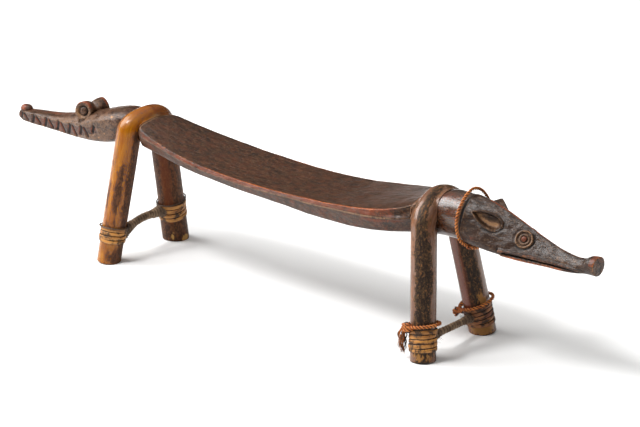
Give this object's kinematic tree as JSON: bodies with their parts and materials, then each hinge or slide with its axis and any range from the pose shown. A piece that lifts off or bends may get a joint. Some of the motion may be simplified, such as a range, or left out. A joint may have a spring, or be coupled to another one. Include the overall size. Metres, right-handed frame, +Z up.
{
  "type": "carved headrest",
  "caption": "Long low wooden headrest carved with a toothed head and a long-snouted head at its ends, on two bent bamboo leg hoops lashed with cane.",
  "frame": {"origin": "on the floor under the middle of the headrest's length and width", "axes": "+X along the bar towards the long-snouted head, +Y towards the far side (the toothed head is at the left seen from -Y), +Z up"},
  "size_m": [0.7016, 0.116, 0.1555],
  "materials": {
    "carved_wood": "dark brown hardwood, polished by handling, worn orange on ridges",
    "golden_bamboo": "glossy golden culm skin with flaking dark patina",
    "brown_bamboo": "satin grey-brown culm skin with a speckled dark patina",
    "split_cane": "satin tan split cane with dark residue between the turns",
    "dark_cane": "dark stained split cane, tan where it has worn",
    "wrapped_tie": "matt grey-brown fibre wrapped in a spiral",
    "fibre_cord": "matt orange-brown two-ply fibre"
  },
  "bodies": {
    "root": {"headrest_bar": "carved_wood", "left_bamboo_hoop": "golden_bamboo", "right_bamboo_hoop": "brown_bamboo", "left_near_foot_lashing": "split_cane", "left_far_foot_lashing": "split_cane", "right_near_foot_lashing": "split_cane", "right_far_foot_lashing": "dark_cane", "left_cross_tie": "wrapped_tie", "right_cross_tie": "wrapped_tie", "right_near_foot_cord": "fibre_cord", "right_far_foot_cord": "fibre_cord", "neck_cord": "fibre_cord"}
  },
  "joints": []
}
